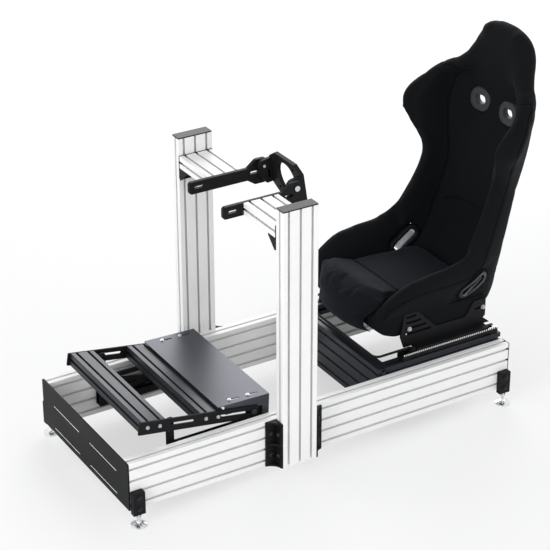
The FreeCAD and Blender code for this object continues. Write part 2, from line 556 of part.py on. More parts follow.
def sliders():
    """Fixed slider channels on spacers, the runners in them and the bent handle bar."""
    wide, tall, wall = size("slider_width") / 2, size("slider_height"), size("slider_wall")
    mouth, spacer, corner = size("slider_mouth") / 2, size("slider_spacer"), size("slider_corner")
    foot_low = wall + size("runner_fit")
    foot, foot_top = size("runner_foot") / 2, foot_low + size("runner_foot_height")
    neck, flange = size("runner_neck") / 2, size("runner_top") / 2
    flange_low, top = tall + size("runner_clear"), runner_top - slider_level
    lip = tall - wall
    channel = [(-wide, 0, corner), (wide, 0, corner), (wide, tall, corner), (mouth, tall), (mouth, lip),
               (wide - wall, lip), (wide - wall, wall), (wall - wide, wall), (wall - wide, lip),
               (-mouth, lip), (-mouth, tall), (-wide, tall, corner)]
    hat = [(-foot, foot_low), (foot, foot_low), (foot, foot_top), (neck, foot_top), (neck, flange_low),
           (flange, flange_low), (flange, top), (-flange, top), (-flange, flange_low), (-neck, flange_low),
           (-neck, foot_top), (-foot, foot_top)]
    riser = [(-wide, -spacer), (wide, -spacer), (wide, wall), (-wide, wall)]
    deep, lug_top, curve = size("lug_depth"), top + size("lug_height"), size("lug_corner")
    lug = [(0, flange_low), (deep, flange_low), (deep, lug_top, curve), (0, lug_top, curve)]
    pivot_back, pivot_up = size("handle_pivot_back"), top + size("handle_pivot_up")
    hole = circle(pivot_back, pivot_up, size("handle_bar") + 2 * size("pivot_fit"))
    for side, sign in sides():
        channel_body = new_body(side + "_slider")
        pad(channel_body, "XZ_Plane", [rounded(channel)], "slider_length", backwards=True)
        for start in (0, size("slider_length") - size("slider_spacer_length")):
            pad(channel_body, "XZ_Plane", [rounded(riser)], "slider_spacer_length", backwards=True,
                offset=-start)
        place(channel_body, sign * slider_middle, slider_front, ground + slider_level)
        runner = new_body(side + "_runner")
        pad(runner, "XZ_Plane", [rounded(hat)], "runner_length", backwards=True)
        pad(runner, "YZ_Plane", [rounded(lug), hole], "lug_sheet", backwards=sign > 0,
            offset=sign * size("lug_out"))
        place(runner, sign * slider_middle, runner_front, ground + slider_level)
    arm, reach = slider_middle - size("handle_in"), size("handle_reach")
    pin, bend, tight = arm + size("handle_pin"), size("handle_bend"), size("handle_tight_bend")
    path = [(-pin, 0), (-arm, 0, tight), (-arm, -reach, bend),
            (arm, -reach, bend), (arm, 0, tight), (pin, 0)]
    spine = doc.addObject("Part::Feature", "handle_path")
    edges = [line.toShape() for line in rounded(path)[:-1]]
    spine.Shape = Part.Wire(Part.__sortEdges__(edges))
    section = doc.addObject("Part::Circle", "handle_section")
    section.setExpression("Radius", "Dimensions.handle_bar / 2")
    section.Placement = Placement(Vector(-pin, 0, 0), Rotation(Vector(0, 1, 0), 90))
    handle = doc.addObject("Part::Sweep", "slider_handle")
    handle.Sections = [section]
    handle.Spine = (spine, ["Edge%d" % (index + 1) for index in range(len(spine.Shape.Edges))])
    handle.Solid = True
    handle.Label = "slider_handle"
    nodes.append(handle)
    place(handle, 0, runner_front + pivot_back, ground + slider_level + pivot_up)


def seat_brackets():
    """Side brackets of bent steel between the runners and the seat's flanks, with adjusting slots."""
    nose, front_high, front_top = size("bracket_nose"), size("bracket_front_high"), size("bracket_front_top")
    saddle_start, saddle_end = size("bracket_saddle_start"), size("bracket_saddle_end")
    saddle, rear_high = size("bracket_saddle_high"), size("bracket_rear_high")
    rear_start, rear_end = size("bracket_rear_start"), size("bracket_rear_end")
    notch, notch_high = size("bracket_notch"), size("bracket_notch_high")
    corner, curve = size("bracket_corner"), size("bracket_round")
    outline = [(0, 0), (-nose, size("bracket_nose_high"), corner), (0, front_high, corner),
               (front_top, front_high, corner), (saddle_start, saddle, curve), (saddle_end, saddle, curve),
               (rear_start, rear_high, corner), (rear_end, rear_high, corner),
               (rear_end, notch_high + notch), (rear_end - notch, notch_high),
               (rear_end + size("bracket_tail"), 0)]
    count, lowest, first = round(size("bracket_slots")), size("bracket_slot_low"), size("bracket_slot_front")
    pitch = (front_high - lowest - size("bracket_slot_edge")) / (count - 1)
    holes = []
    for index in range(count):
        level = lowest + index * pitch
        edge = front_top + (front_high - level) / (front_high - saddle) * (saddle_start - front_top)
        length = edge - size("bracket_slot_margin") - first
        holes.append(slot(first + length / 2, level, length, size("bracket_slot")))
    rear_slot = size("bracket_rear_slot")
    holes.append(slot((rear_start + rear_end) / 2, rear_high - size("bracket_rear_slot_down"), rear_slot,
                      size("bracket_slot")))
    wall, shelf_front = size("bracket_sheet"), size("bracket_ahead") + size("bracket_shelf_back")
    shelf_rear = size("bracket_ahead") + size("runner_length")
    shelf = [(shelf_front, 0), (shelf_rear, 0), (shelf_rear, wall), (shelf_front, wall)]
    for side, sign in sides():
        bracket = new_body(side + "_seat_bracket")
        pad(bracket, "YZ_Plane", [rounded(outline)] + holes, "bracket_sheet", backwards=sign < 0)
        pad(bracket, "YZ_Plane", [rounded(shelf)], "bracket_in + bracket_out", backwards=sign < 0)
        place(bracket, sign * bracket_inner, runner_front - size("bracket_ahead"), ground + runner_top)


# Bucket seat sections from the front edge to the head, from the runners' front and top: floor point in Y and
# Z, lean, half width of the rear, half width and level of the flank, half width and height of the rim, and
# thickness behind. Half widths count from the seat's half width between the brackets.
SEAT_SECTIONS = (
    (-97, 90, 0, -14, -4, 0, 14, 44, 25),
    (-80, 110, 0, -10, -1, 5, 25, 68, 67),
    (-30, 112, 0, -10, 0, 8, 30, 101, 88),
    (25, 108, 0, -10, 0, 12, 33, 128, 86),
    (155, 95, 0, -11, 0, 12, 35, 154, 73),
    (240, 93, 22, -14, 0, 8, 34, 176, 74),
    (305, 125, 32, -20, -2, -30, 33, 172, 80),
    (373, 260, 65, -80, -5, 0, 30, 130, 62),
    (417, 430, 76, -90, -6, 0, 18, 98, 50),
    (441, 518, 79, -97, -7, 0, 47, 148, 36),
    (467, 618, 84, -100, -10, 0, 79, 196, 16),
    (479, 715, 88, -90, -6, 0, 56, 112, 16),
    (483, 775, 90, -85, -42, 0, -34, 36, 32),
    (489, 845, 92, -95, -82, -8, -73, 12, 54),
    (484, 895, 96, -120, -108, -8, -101, 8, 44),
    (479, 918, 98, -150, -140, -8, -134, 5, 30),
)
SEAT_STEPS = 3
# Shares of a section: rear corner, height of the flank's flare, edge of the flat floor and its rise
REAR_FLAT, REAR_EDGE, FLARE, FLOOR_FLAT, FLOOR_BEND, FLOOR_RISE = 0.65, 0.92, 0.6, 0.6, 0.9, 0.16
ROLL_ANGLES = (0, 45, 90, 135)


def seat_section(floor_y, floor_z, lean, rear, flank, level, rim, height, behind):
    """Corners of one cut through the bucket, in the plane that leans with it."""
    rear, flank, rim = seat_half + rear, seat_half + flank, seat_half + rim
    roll = min(size("seat_roll"), rim * size("seat_roll_share")) / 2
    floor = rim - 2 * roll
    flare = level + FLARE * (height - level)
    half = [(0, -behind), (rear * REAR_FLAT, -behind), (rear, -behind * REAR_EDGE), (flank, level)]
    for angle in ROLL_ANGLES:
        turn = math.radians(angle)
        half.append((rim - roll + roll * math.cos(turn), flare + (height - flare) * math.sin(turn)))
    half += [(floor * FLOOR_BEND, height * FLOOR_RISE), (floor * FLOOR_FLAT, 0)]
    mirrored = [(-x, up) for x, up in reversed(half[1:])]
    turn = math.radians(lean)
    middle = Vector(0, runner_front + floor_y, runner_top + floor_z)
    rise = Vector(0, -math.sin(turn), math.cos(turn))
    return [middle + Vector(x, 0, 0) + rise * up for x, up in half + mirrored]


def between(rows, steps):
    """Rows of points with more rows between them, on a smooth curve through each point."""
    filled = []
    for index in range(len(rows) - 1):
        before, here = rows[max(index - 1, 0)], rows[index]
        after, later = rows[index + 1], rows[min(index + 2, len(rows) - 1)]
        for step in range(steps):
            share = step / steps
            filled.append([
                (b * 2 + (c - a) * share + (a * 2 - b * 5 + c * 4 - d) * share ** 2
                 + (b * 3 - a - c * 3 + d) * share ** 3) * 0.5
                for a, b, c, d in zip(before, here, after, later)])
    filled.append(rows[-1])
    return filled


def prism(name, outline, start, end, turn):
    """Prism of one outline from start to end along the axis that the turn gives to Z."""
    wire = Part.Wire(Part.__sortEdges__([line.toShape() for line in outline]))
    feature = doc.addObject("Part::Feature", name)
    feature.Shape = Part.Face(wire).extrude(Vector(0, 0, end - start))
    feature.Placement = Placement(turn.multVec(Vector(0, 0, start)), turn)
    return feature


def combine(kind, name, base, tool):
    """Boolean of two objects."""
    feature = doc.addObject(kind, name)
    feature.Base = base
    feature.Tool = tool
    return feature


def seat():
    """Padded bucket seat: lofted shell with belt openings, their frames and the loose base cushion."""
    wires = []
    for index, points in enumerate(between([seat_section(*row) for row in SEAT_SECTIONS], SEAT_STEPS)):
        wire = doc.addObject("Part::Feature", "seat_section_%d" % index)
        wire.Shape = Part.makePolygon(points + points[:1])
        wires.append(wire)
    shell = doc.addObject("Part::Loft", "seat_loft")
    shell.Sections = wires
    shell.Solid = True
    shell.Ruled = True
    along_x, along_y = Rotation(Vector(1, 1, 1), 120), Rotation(Vector(0, 1, 1), 180)
    openings = []
    for side, sign in sides():
        behind, lap = runner_front + size("shoulder_start"), sign * (seat_half - size("lap_in"))
        openings.append((side + "_shoulder_frame", along_y, -sign * size("shoulder_out"),
                         runner_top + size("shoulder_up"), size("shoulder_long"), size("shoulder_wide"), 0,
                         behind, behind + size("shoulder_through")))
        openings.append((side + "_lap_frame", along_x, runner_front + size("lap_back"),
                         runner_top + size("lap_up"), size("lap_long"), size("lap_wide"), size("lap_turn"),
                         *sorted((lap, lap + sign * size("lap_through")))))
    padded, rim = shell, 2 * size("belt_rim")
    pieces = []
    for name, axis, u, v, length, width, turn, start, end in openings:
        mouth = prism(name + "_mouth", slot(u, v, length, width, turn), start, end, axis)
        hole = prism(name + "_hole", slot(u, v, length + rim, width + rim, turn), start, end, axis)
        tube = combine("Part::Cut", name + "_tube", hole, mouth)
        frame = combine("Part::Common", name, tube, padded)
        frame.Label = name
        pieces.append(frame)
        shell = combine("Part::Cut", "seat_open_" + name, shell, hole)
    shell.Label = "seat_shell"
    pieces.append(shell)
    wide, ahead, bow = seat_half - size("cushion_in"), -size("cushion_ahead"), size("cushion_bow")
    low, nose, curve = size("cushion_low"), size("cushion_nose"), size("cushion_round")
    rear, low_curve = size("cushion_rear"), size("cushion_low_round")
    profile = [(ahead + bow, low, low_curve), (ahead, low, low_curve), (ahead, nose, curve),
               (-size("cushion_crown_ahead"), nose, curve),
               (size("cushion_dip_back"), size("cushion_dip"), curve), (rear, size("cushion_rear_up")),
               (rear, size("cushion_floor")), (ahead + bow, size("cushion_floor"))]
    placed = [(runner_front + y, runner_top + z, *radius) for y, z, *radius in profile]
    block = prism("cushion_profile", rounded(placed), -wide, wide, along_x)
    front, back = runner_front + ahead, runner_front + rear
    plan = [Part.Arc(Vector(-wide, front + bow, 0), Vector(0, front, 0), Vector(wide, front + bow, 0)),
            Part.LineSegment(Vector(wide, front + bow, 0), Vector(wide, back, 0)),
            Part.LineSegment(Vector(wide, back, 0), Vector(-wide, back, 0)),
            Part.LineSegment(Vector(-wide, back, 0), Vector(-wide, front + bow, 0))]
    bowed = prism("cushion_plan", plan, runner_top, runner_top + nose, Rotation())
    blank = combine("Part::Common", "cushion_blank", block, bowed)
    cushion = combine("Part::Cut", "seat_cushion", blank, padded)
    cushion.Label = "seat_cushion"
    pieces.append(cushion)
    nodes.extend(pieces)
    return pieces


floor_frame()
feet()
uprights()
arms()
wheel_mount()
pedal_deck()
pedal_supports()
seat_base()
sliders()
seat_brackets()
raised = seat()
doc.recompute()
for feature in doc.Objects:
    if {"Invalid", "Error"} & set(feature.State):
        raise RuntimeError("%s failed: %s" % (feature.Label, feature.State))
for node in nodes:
    if node.Shape.isNull() or not node.Shape.isValid():
        raise RuntimeError(node.Label + " has no valid shape")

# The frame of the part: on the floor, centred in Y on the box of all pieces
for node in raised:
    place(node, 0, 0, ground)
box = FreeCAD.BoundBox()
for node in nodes:
    box.add(node.Shape.BoundBox)
os.makedirs("parts", exist_ok=True)
for node in nodes:
    node.Placement.Base.y -= (box.YMin + box.YMax) / 2
    node.Shape.exportStep("parts/%s.step" % node.Label)
print("%d parts in a box of %.1f x %.1f x %.1f mm" % (len(nodes), box.XLength, box.YLength, box.ZLength))
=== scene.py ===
import math

import bmesh
import bpy
from mathutils import Matrix, Vector
from mathutils.bvhtree import BVHTree
from mathutils.geometry import interpolate_bezier
from mathutils.kdtree import KDTree


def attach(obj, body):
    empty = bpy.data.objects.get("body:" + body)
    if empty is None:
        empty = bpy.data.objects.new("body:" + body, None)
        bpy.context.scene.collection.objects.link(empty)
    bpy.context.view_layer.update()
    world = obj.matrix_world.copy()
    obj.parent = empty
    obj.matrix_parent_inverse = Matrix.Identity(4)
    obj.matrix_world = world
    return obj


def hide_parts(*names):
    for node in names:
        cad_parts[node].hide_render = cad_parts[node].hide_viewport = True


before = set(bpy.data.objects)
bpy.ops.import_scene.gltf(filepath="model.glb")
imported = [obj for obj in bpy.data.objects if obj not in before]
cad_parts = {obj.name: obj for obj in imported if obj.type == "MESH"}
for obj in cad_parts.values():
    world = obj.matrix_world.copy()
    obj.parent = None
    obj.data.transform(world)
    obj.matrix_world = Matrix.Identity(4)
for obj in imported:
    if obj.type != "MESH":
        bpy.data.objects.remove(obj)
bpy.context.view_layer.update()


# Rails, uprights and arms
# Extruded aluminium bars with T-slots on every face, sawn to length and powder-coated white.
# The die leaves small rounded corners; the coat has a faint orange peel.
class Shade:
    """An output of a shader node that can be used in sums and products."""

    def __init__(self, tree, socket):
        self.tree = tree
        self.socket = socket

    def node(self, kind, settings, inputs, output=0):
        """Another node of the same material: its settings first, then values or links of its sockets."""
        made = self.tree.nodes.new("ShaderNode" + kind)
        for name, value in settings.items():
            setattr(made, name, value)
        for name, value in inputs.items():
            if isinstance(value, Shade):
                self.tree.links.new(value.socket, made.inputs[name])
            else:
                made.inputs[name].default_value = value
        return Shade(self.tree, made.outputs[output]) if made.outputs else None

    def maths(self, operation, first, second):
        """A sum, a product or a comparison of two values."""
        return self.node("Math", {"operation": operation}, {0: first, 1: second})

    def __add__(self, other):
        return self.maths("ADD", self, other)

    def __sub__(self, other):
        return self.maths("SUBTRACT", self, other)

    def __rsub__(self, other):
        return self.maths("SUBTRACT", other, self)

    def __mul__(self, other):
        return self.maths("MULTIPLY", self, other)

    def __pow__(self, other):
        return self.maths("POWER", self, other)

    __radd__ = __add__
    __rmul__ = __mul__

    def noise(self, scale, detail=2.0):
        return self.node("TexNoise", {}, {"Vector": self, "Scale": scale, "Detail": detail})

    def stretched(self, across, back, up):
        """The same place with its three directions scaled, for grain that runs one way."""
        return self.node("VectorMath", {"operation": "MULTIPLY"}, {0: self, 1: (across, back, up)})

    def between(self, low, high):
        """A colour between two, mixed by this value."""
        return self.node("Mix", {"data_type": "RGBA"}, {0: self, 6: (*low, 1), 7: (*high, 1)}, 2)

    def relief(self, depth):
        """The surface normal raised by this value, to a depth in metres."""
        return self.node("Bump", {}, {"Strength": 1.0, "Distance": depth, "Height": self}, 0)

    def surface(self, inputs):
        """Makes these inputs the material's surface."""
        shader = self.node("BsdfPrincipled", {}, inputs)
        self.node("OutputMaterial", {}, {"Surface": shader})


def start_finish(name):
    """A new material, and the place on the object that its pattern is laid out on."""
    finish = bpy.data.materials.new(name)
    finish.use_nodes = True
    finish.node_tree.nodes.clear()
    coordinates = finish.node_tree.nodes.new("ShaderNodeTexCoord")
    return finish, Shade(finish.node_tree, coordinates.outputs["Object"])


crease_angle = math.radians(36)
flat_angle = math.radians(0.5)
weld_distance = 0.00001
die_corner = 0.0006


def add_piece(mesh, name, finish, body):
    """Puts a mesh in the scene as a piece that rides a body."""
    data = bpy.data.meshes.new(name)
    mesh.to_mesh(data)
    mesh.free()
    data.materials.append(finish)
    data.shade_smooth()
    data.set_sharp_from_angle(angle=crease_angle)
    piece = bpy.data.objects.new(name, data)
    bpy.context.scene.collection.objects.link(piece)
    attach(piece, body)
    return piece


def merged(node):
    """A copy of a solid's mesh with its triangles joined."""
    mesh = bmesh.new()
    mesh.from_mesh(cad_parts[node].data)
    bmesh.ops.remove_doubles(mesh, verts=mesh.verts, dist=weld_distance)
    return mesh


def eased(node, edge, finish, body):
    """A solid with its sharp edges broken, as a file, a die or a coat of paint leaves them."""
    mesh = merged(node)
    bmesh.ops.dissolve_limit(mesh, angle_limit=flat_angle, verts=mesh.verts, edges=mesh.edges)
    sharp = [line for line in mesh.edges if line.is_manifold and line.calc_face_angle() > crease_angle]
    bmesh.ops.bevel(mesh, geom=sharp, offset=edge, offset_type="OFFSET", affect="EDGES", segments=2,
                    profile=0.5, clamp_overlap=True, material=-1)
    piece = add_piece(mesh, node + "_eased", finish, body)
    piece.modifiers.new("even_light", "WEIGHTED_NORMAL").keep_sharp = True
    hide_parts(node)
    return piece


white_coat, place = start_finish("white_powder_coat")
peel = place.noise(700.0)
cloud = place.noise(11.0, 4.0)
place.surface({
    "Base Color": cloud.between((0.80, 0.80, 0.795), (0.86, 0.86, 0.85)),
    "Roughness": 0.38 + 0.16 * cloud,
    "Specular IOR Level": 0.45,
    "Normal": peel.relief(0.00004),
})
for side in ("left", "right"):
    for bar in ("rail", "upright", "arm"):
        eased("%s_%s" % (side, bar), die_corner, white_coat, "frame")


# Front sheet, ring plate, braces, brackets, cheeks, blocks and supports
# Laser-cut and bent steel, powder-coated in fine-textured satin black; cut edges are slightly rounded
# by the coat and catch the light.
coat_edge = 0.0009
black_coat, place = start_finish("black_powder_coat")
grit = place.noise(1500.0, 3.0)
cloud = place.noise(7.0, 4.0)
place.surface({
    "Base Color": cloud.between((0.0030, 0.0031, 0.0037), (0.0068, 0.0070, 0.0080)),
    "Roughness": 0.42 + 0.14 * cloud + 0.10 * grit,
    "Specular IOR Level": 0.16,
    "Normal": grit.relief(0.00006),
})
for node, body in (("front_plate", "frame"), ("ring_plate", "wheel_mount")):
    eased(node, coat_edge, black_coat, body)
for side in ("left", "right"):
    for part in ("front_brace", "rear_brace", "arm_bracket", "cheek", "front_foot_block", "rear_foot_block",
                 "pedal_support"):
        eased("%s_%s" % (side, part), coat_edge, black_coat, "frame")


# Frame screws
# Black-oxide socket screws with washers that hold the braces, blocks, brackets and supports to the bars.
# Places are in millimetres; a screw's size is the radius and height of its head in metres.
half_length = 789.0
rail_underside = 52.0
brace_faces = ((506, -1), (626, 1))
brace_levels = (40, 115)
brace_screw = (0.0065, 0.006)
rail_leaf_face = 296.5
rail_leaf_reach = 23
upright_leaf_middle = 314.5
upright_leaf_thick = 5
block_face = 311.5
block_middles = (25, 1365)
block_levels = (10, 48)
small_screw = (0.006, 0.005)
arm_bracket_backs = (536, 596)
arm_bracket_face = 286.5
arm_bracket_level = 741
arm_leaf_middle = 262.0
arm_leaf_underside = 759
support_face = 246.5
support_backs = (211, 332, 453)
support_level = 60


def at(across, behind, above):
    """The point so many millimetres across, behind the front sheet and above the rails' underside."""
    return Vector((across, behind - half_length, above + rail_underside)) / 1000


def add_screw(mesh, spot, out, radius, tall):
    """Adds a socket screw to a mesh: a thin washer, a head with a rounded edge and a hexagon socket."""
    washer_radius = radius * 1.35
    washer_thick = 0.0016
    washer_middle = 0.0006
    washer_top = 0.0014
    socket_wall = radius * 0.28
    socket_flat = radius * 0.46
    seat = Matrix.Translation(spot) @ out.to_track_quat("Z", "Y").to_matrix().to_4x4()
    washer = bmesh.ops.create_cone(mesh, cap_ends=True, segments=24, radius1=washer_radius,
                                   radius2=washer_radius, depth=washer_thick)["verts"]
    bmesh.ops.translate(mesh, verts=washer, vec=(0, 0, washer_middle))
    head = bmesh.ops.create_cone(mesh, cap_ends=True, segments=24, radius1=radius, radius2=radius,
                                 depth=tall)["verts"]
    bmesh.ops.translate(mesh, verts=head, vec=(0, 0, tall / 2 + washer_top))
    crown = max((face for vertex in head for face in vertex.link_faces), key=lambda face: face.normal.z)
    rim = bmesh.ops.bevel(mesh, geom=list(crown.edges), offset=tall * 0.25, offset_type="OFFSET",
                          affect="EDGES", segments=2, profile=0.5, material=-1)["verts"]
    crown = max((face for vertex in rim for face in vertex.link_faces),
                key=lambda face: (round(face.calc_center_median().z, 6), len(face.verts)))
    ring = bmesh.ops.inset_region(mesh, faces=[crown], thickness=socket_wall, use_even_offset=True)["faces"]
    for vertex in crown.verts:
        turn = math.atan2(vertex.co.y, vertex.co.x) % (math.pi / 3) - math.pi / 6
        reach = socket_flat / math.cos(turn)
        vertex.co.xy = vertex.co.xy.normalized() * reach
    socket = bmesh.ops.extrude_discrete_faces(mesh, faces=[crown])["faces"]
    bmesh.ops.translate(mesh, verts=list(socket[0].verts), vec=(0, 0, -tall * 0.5))
    whole = set(washer)
    grow = [vertex for face in ring + socket for vertex in face.verts]
    while grow:
        vertex = grow.pop()
        if vertex not in whole:
            whole.add(vertex)
            grow.extend(line.other_vert(vertex) for line in vertex.link_edges)
    bmesh.ops.transform(mesh, matrix=seat, verts=list(whole))


black_oxide, place = start_finish("black_oxide_steel")
stain = place.noise(160.0, 3.0)
place.surface({
    "Base Color": stain.between((0.018, 0.018, 0.02), (0.05, 0.05, 0.055)),
    "Metallic": 0.7,
    "Roughness": 0.28 + 0.2 * stain,
})
screws = bmesh.new()
for sign in (1, -1):
    across = Vector((sign, 0, 0))
    for level in brace_levels:
        for face, away in brace_faces:
            on_rail = at(sign * rail_leaf_face, face + away * rail_leaf_reach, level)
            on_upright = at(sign * upright_leaf_middle, face + away * upright_leaf_thick, level)
            add_screw(screws, on_rail, across, *brace_screw)
            add_screw(screws, on_upright, Vector((0, away, 0)), *brace_screw)
    for middle in block_middles:
        for level in block_levels:
            add_screw(screws, at(sign * block_face, middle, level), across, *small_screw)
    for back in arm_bracket_backs:
        on_arm = at(sign * arm_leaf_middle, back, arm_leaf_underside)
        add_screw(screws, at(sign * arm_bracket_face, back, arm_bracket_level), -across, *small_screw)
        add_screw(screws, on_arm, Vector((0, 0, -1)), *small_screw)
    for back in support_backs:
        add_screw(screws, at(sign * support_face, back, support_level), -across, *small_screw)
add_piece(screws, "frame_screws", black_oxide, "frame")


# Front strips: painted light
# White strips fill the front sheet's four thin cuts, which are open, so that they show as bright lines:
# painted light standing in for the background seen through the cuts.
strip_size = (0.178, 0.0042, 0.0031)
strip_middle = 124.5
strip_depth = 2.6
strip_levels = (19, 99)
strip_edge = 0.0004
cut_light_strips = bmesh.new()
for sign in (1, -1):
    for level in strip_levels:
        strip = bmesh.ops.create_cube(cut_light_strips, size=1.0)["verts"]
        bmesh.ops.scale(cut_light_strips, verts=strip, vec=strip_size)
        bmesh.ops.translate(cut_light_strips, verts=strip, vec=at(sign * strip_middle, strip_depth, level))
bmesh.ops.bevel(cut_light_strips, geom=cut_light_strips.edges, offset=strip_edge, offset_type="OFFSET", affect="EDGES",
                segments=2, profile=0.5, material=-1)
add_piece(cut_light_strips, "front_cut_light_strips", white_coat, "frame")


# End caps
# Injection-moulded plastic pushed into the bars' ends, with a fine spark-eroded grain.
cap_edge = 0.0005
plastic, place = start_finish("black_plastic")
grain = place.noise(1100.0, 1.0)
cloud = place.noise(25.0)
place.surface({
    "Base Color": cloud.between((0.008, 0.0082, 0.0095), (0.014, 0.0145, 0.016)),
    "Roughness": 0.36 + 0.14 * grain,
    "Specular IOR Level": 0.2,
    "Normal": grain.relief(0.00005),
})
for side in ("left", "right"):
    for part in ("rail_cap", "upright_cap"):
        eased("%s_%s" % (side, part), cap_edge, plastic, "frame")


# Levelling feet
# Turned steel pads and studs with a lock nut, chrome-plated, screwed up into the blocks.
turned_edge = 0.0007
chrome, place = start_finish("chrome_plate")
lathe = place.stretched(20.0, 20.0, 2600.0).noise(1.0)
cloud = place.noise(30.0, 3.0)
place.surface({
    "Base Color": cloud.between((0.72, 0.73, 0.75), (0.86, 0.87, 0.88)),
    "Metallic": 1.0,
    "Roughness": 0.14 + 0.14 * cloud,
    "Normal": lathe.relief(0.00003),
})
for side in ("left", "right"):
    for end in ("front", "rear"):
        eased("%s_%s_foot" % (side, end), turned_edge, chrome, "frame")


# Pedal deck
# Two black anodised slotted bars between laser-cut side plates, with a folded heel plate on top.
# The anodising keeps the fine lines that the die drew along each bar.
def anodised(name, across, back, up):
    """Black anodised aluminium whose drawn lines run along the direction with the small number."""
    finish, place = start_finish(name)
    lines = place.stretched(across, back, up).noise(1.0, 3.0)
    cloud = place.noise(9.0, 3.0)
    place.surface({
        "Base Color": (0.5 * lines + 0.5 * cloud).between((0.014, 0.0148, 0.019), (0.032, 0.034, 0.043)),
        "Metallic": 0.35,
        "Roughness": 0.28 + 0.14 * lines,
        "Specular IOR Level": 0.35,
        "Normal": lines.relief(0.00003),
    })
    return finish


plate_edge = 0.0008
across_bar = anodised("black_anodised_across", 12.0, 1800.0, 1800.0)
for node in ("deck_front_bar", "deck_rear_bar"):
    eased(node, die_corner, across_bar, "pedal_deck")
for node in ("left_deck_plate", "right_deck_plate"):
    eased(node, plate_edge, black_coat, "pedal_deck")
satin, place = start_finish("satin_black_sheet")
rolled = place.stretched(1500.0, 20.0, 1500.0).noise(1.0, 3.0)
cloud = place.noise(4.0, 4.0)
place.surface({
    "Base Color": (0.4 * rolled + 0.6 * cloud).between((0.040, 0.042, 0.053), (0.074, 0.077, 0.094)),
    "Metallic": 0.6,
    "Roughness": 0.32 + 0.10 * rolled,
    "Normal": rolled.relief(0.00002),
})
eased("heel_plate", plate_edge, satin, "pedal_deck")
for node in ("left_deck_pivot", "right_deck_pivot"):
    eased(node, plate_edge, black_oxide, "pedal_deck")

# Deck screws: bright zinc, through the side plates into the bars and through the heel plate's slots
deck_tilt = math.radians(9.1)
deck_front = 70.5
deck_top = 254.5
side_plate_face = 242.0
side_screw = (0.0044, 0.004)
side_screw_drop = 19
side_screws_along = (28, 69, 226, 268)
heel_tilt = math.radians(1.9)
heel_front = 335.04
heel_top = 221.95
heel_slot_middle = 213.7
heel_screw = (0.0044, 0.003)
heel_screws_along = (52, 116)
zinc, place = start_finish("zinc_plate")
bloom = place.noise(220.0, 4.0)
place.surface({
    "Base Color": bloom.between((0.50, 0.51, 0.53), (0.72, 0.73, 0.75)),
    "Metallic": 1.0,
    "Roughness": 0.22 + 0.18 * bloom,
})
screws = bmesh.new()
heel_upright = Vector((0, math.sin(heel_tilt), math.cos(heel_tilt)))
for sign in (1, -1):
    for along in side_screws_along:
        back = deck_front + along * math.cos(deck_tilt) - side_screw_drop * math.sin(deck_tilt)
        level = deck_top - along * math.sin(deck_tilt) - side_screw_drop * math.cos(deck_tilt)
        add_screw(screws, at(sign * side_plate_face, back, level), Vector((sign, 0, 0)), *side_screw)
    for along in heel_screws_along:
        back = heel_front + along * math.cos(heel_tilt)
        level = heel_top - along * math.sin(heel_tilt)
        add_screw(screws, at(sign * heel_slot_middle, back, level), heel_upright, *heel_screw)
add_piece(screws, "deck_screws", zinc, "pedal_deck")


# Seat base
# Black anodised slotted bars between the rails, bolted together at the corners.
along_bar = anodised("black_anodised_along", 1800.0, 12.0, 1800.0)
for node in ("seat_front_bar", "seat_rear_bar"):
    eased(node, die_corner, across_bar, "frame")
for node in ("left_seat_bar", "right_seat_bar"):
    eased(node, die_corner, along_bar, "frame")


# Sliders, seat brackets and handle
# Rolled steel channels with runners in them and laser-cut brackets on the runners, all blackened.
# The handle is one bent round bar.
rolled_edge = 0.0005
for side in ("left", "right"):
    eased(side + "_slider", rolled_edge, black_coat, "frame")
    eased(side + "_runner", rolled_edge, black_coat, "seat")
    eased(side + "_seat_bracket", coat_edge, black_coat, "seat")
eased("slider_handle", rolled_edge, black_coat, "handle")

# Slider teeth: a bright toothed strip along the outer side of each channel
tooth_size = (0.003, 0.0042, 0.006)
tooth_count = 46
tooth_pitch = 8
first_tooth = 1004
tooth_middle = 248.5
tooth_level = 206
teeth = bmesh.new()
for sign in (1, -1):
    for step in range(tooth_count):
        tooth = bmesh.ops.create_cube(teeth, size=1.0)["verts"]
        bmesh.ops.scale(teeth, verts=tooth, vec=tooth_size)
        bmesh.ops.translate(teeth, verts=tooth,
                            vec=at(sign * tooth_middle, first_tooth + tooth_pitch * step, tooth_level))
add_piece(teeth, "slider_teeth", chrome, "frame")

# Seat screws: bright zinc, through the brackets into the seat
bracket_face = 211.0
bracket_screws = ((1046, 273), (1334, 272))
bracket_screw = (0.0056, 0.006)
screws = bmesh.new()
for sign in (1, -1):
    for back, level in bracket_screws:
        add_screw(screws, at(sign * bracket_face, back, level), Vector((sign, 0, 0)), *bracket_screw)
add_piece(screws, "seat_screws", zinc, "seat")

# Pivot bolts: the two bright bolts that the ring plate tilts on between the cheeks
for node in ("left_pivot_bolt", "right_pivot_bolt"):
    eased(node, plate_edge, zinc, "wheel_mount")


# Seat cover
# Foam-padded bucket, sewn from black stretch knit. The cover is laid over the foam as an even skin,
# tucked in, blown up as cloth and then pulled in along its seams.
fullness = 0.016
crown_share = 0.8
crown_blend = 0.06
wing_blend = 0.03
foam_pressure = 4.0
blow_frames = 20
stitch = 0.002


def bake(piece):
    """Makes what a piece's modifiers show its own mesh."""
    shown = piece.evaluated_get(bpy.context.evaluated_depsgraph_get())
    data = bpy.data.meshes.new_from_object(shown)
    piece.modifiers.clear()
    piece.data = data


